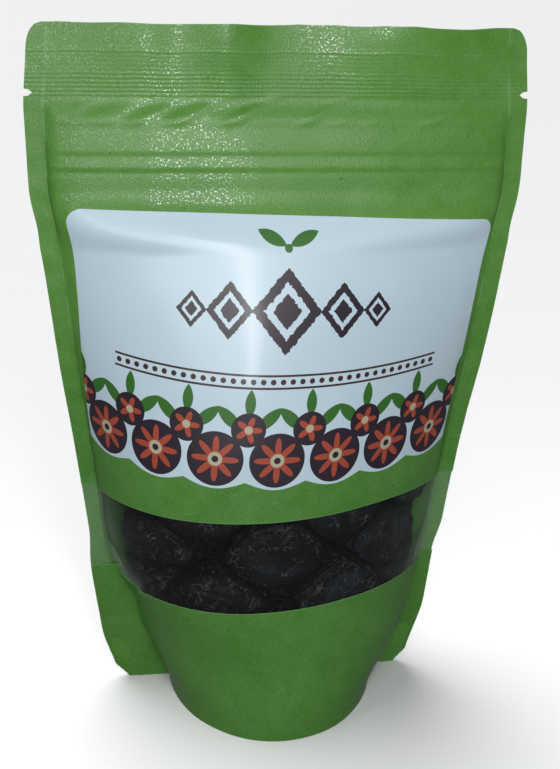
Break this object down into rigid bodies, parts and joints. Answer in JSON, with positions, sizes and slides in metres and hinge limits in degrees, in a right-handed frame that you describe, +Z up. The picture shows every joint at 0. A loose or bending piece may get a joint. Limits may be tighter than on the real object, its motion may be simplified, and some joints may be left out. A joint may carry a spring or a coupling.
{
  "type": "stand-up pouch of dried figs",
  "caption": "Stand-up pouch with a clear window band, a bottom gusset, a label and a press-to-close strip under its heat-sealed top, filled with dried figs.",
  "frame": {"origin": "middle of the base, on the surface that the pouch stands on", "axes": "+Z up, the front with its window and label faces -Y, +X at the viewer's right"},
  "size_m": [0.1596, 0.0878, 0.235],
  "materials": {
    "clear_film": "clear glossy film",
    "green_paper": "satin kraft-look paper, leaf green, fine fibres",
    "green_back": "satin kraft-look paper, leaf green",
    "white_label": "semi-gloss white label stock",
    "zip_plastic": "translucent polyethylene",
    "dried_fig": "wrinkled, near-black brown, slightly waxy"
  },
  "bodies": {
    "root": {"front_film": "clear_film", "front_paper_upper": "green_paper", "front_paper_lower": "green_paper", "back_panel": "green_back", "bottom_gusset": "green_back", "label": "white_label", "zip_rib_back": "zip_plastic", "zip_lips_front": "zip_plastic", "dried_fig_01": "dried_fig", "dried_fig_02": "dried_fig", "dried_fig_03": "dried_fig", "dried_fig_04": "dried_fig", "dried_fig_05": "dried_fig", "dried_fig_06": "dried_fig", "dried_fig_07": "dried_fig", "dried_fig_08": "dried_fig", "dried_fig_09": "dried_fig", "dried_fig_10": "dried_fig", "dried_fig_11": "dried_fig", "dried_fig_12": "dried_fig", "dried_fig_13": "dried_fig", "dried_fig_14": "dried_fig", "dried_fig_15": "dried_fig", "dried_fig_16": "dried_fig", "dried_fig_17": "dried_fig", "dried_fig_18": "dried_fig", "dried_fig_19": "dried_fig", "dried_fig_20": "dried_fig", "dried_fig_21": "dried_fig", "dried_fig_22": "dried_fig", "dried_fig_23": "dried_fig", "dried_fig_24": "dried_fig", "dried_fig_25": "dried_fig", "dried_fig_26": "dried_fig", "dried_fig_27": "dried_fig", "dried_fig_28": "dried_fig", "dried_fig_29": "dried_fig", "dried_fig_30": "dried_fig", "dried_fig_31": "dried_fig", "dried_fig_32": "dried_fig", "dried_fig_33": "dried_fig", "dried_fig_34": "dried_fig"}
  },
  "joints": []
}
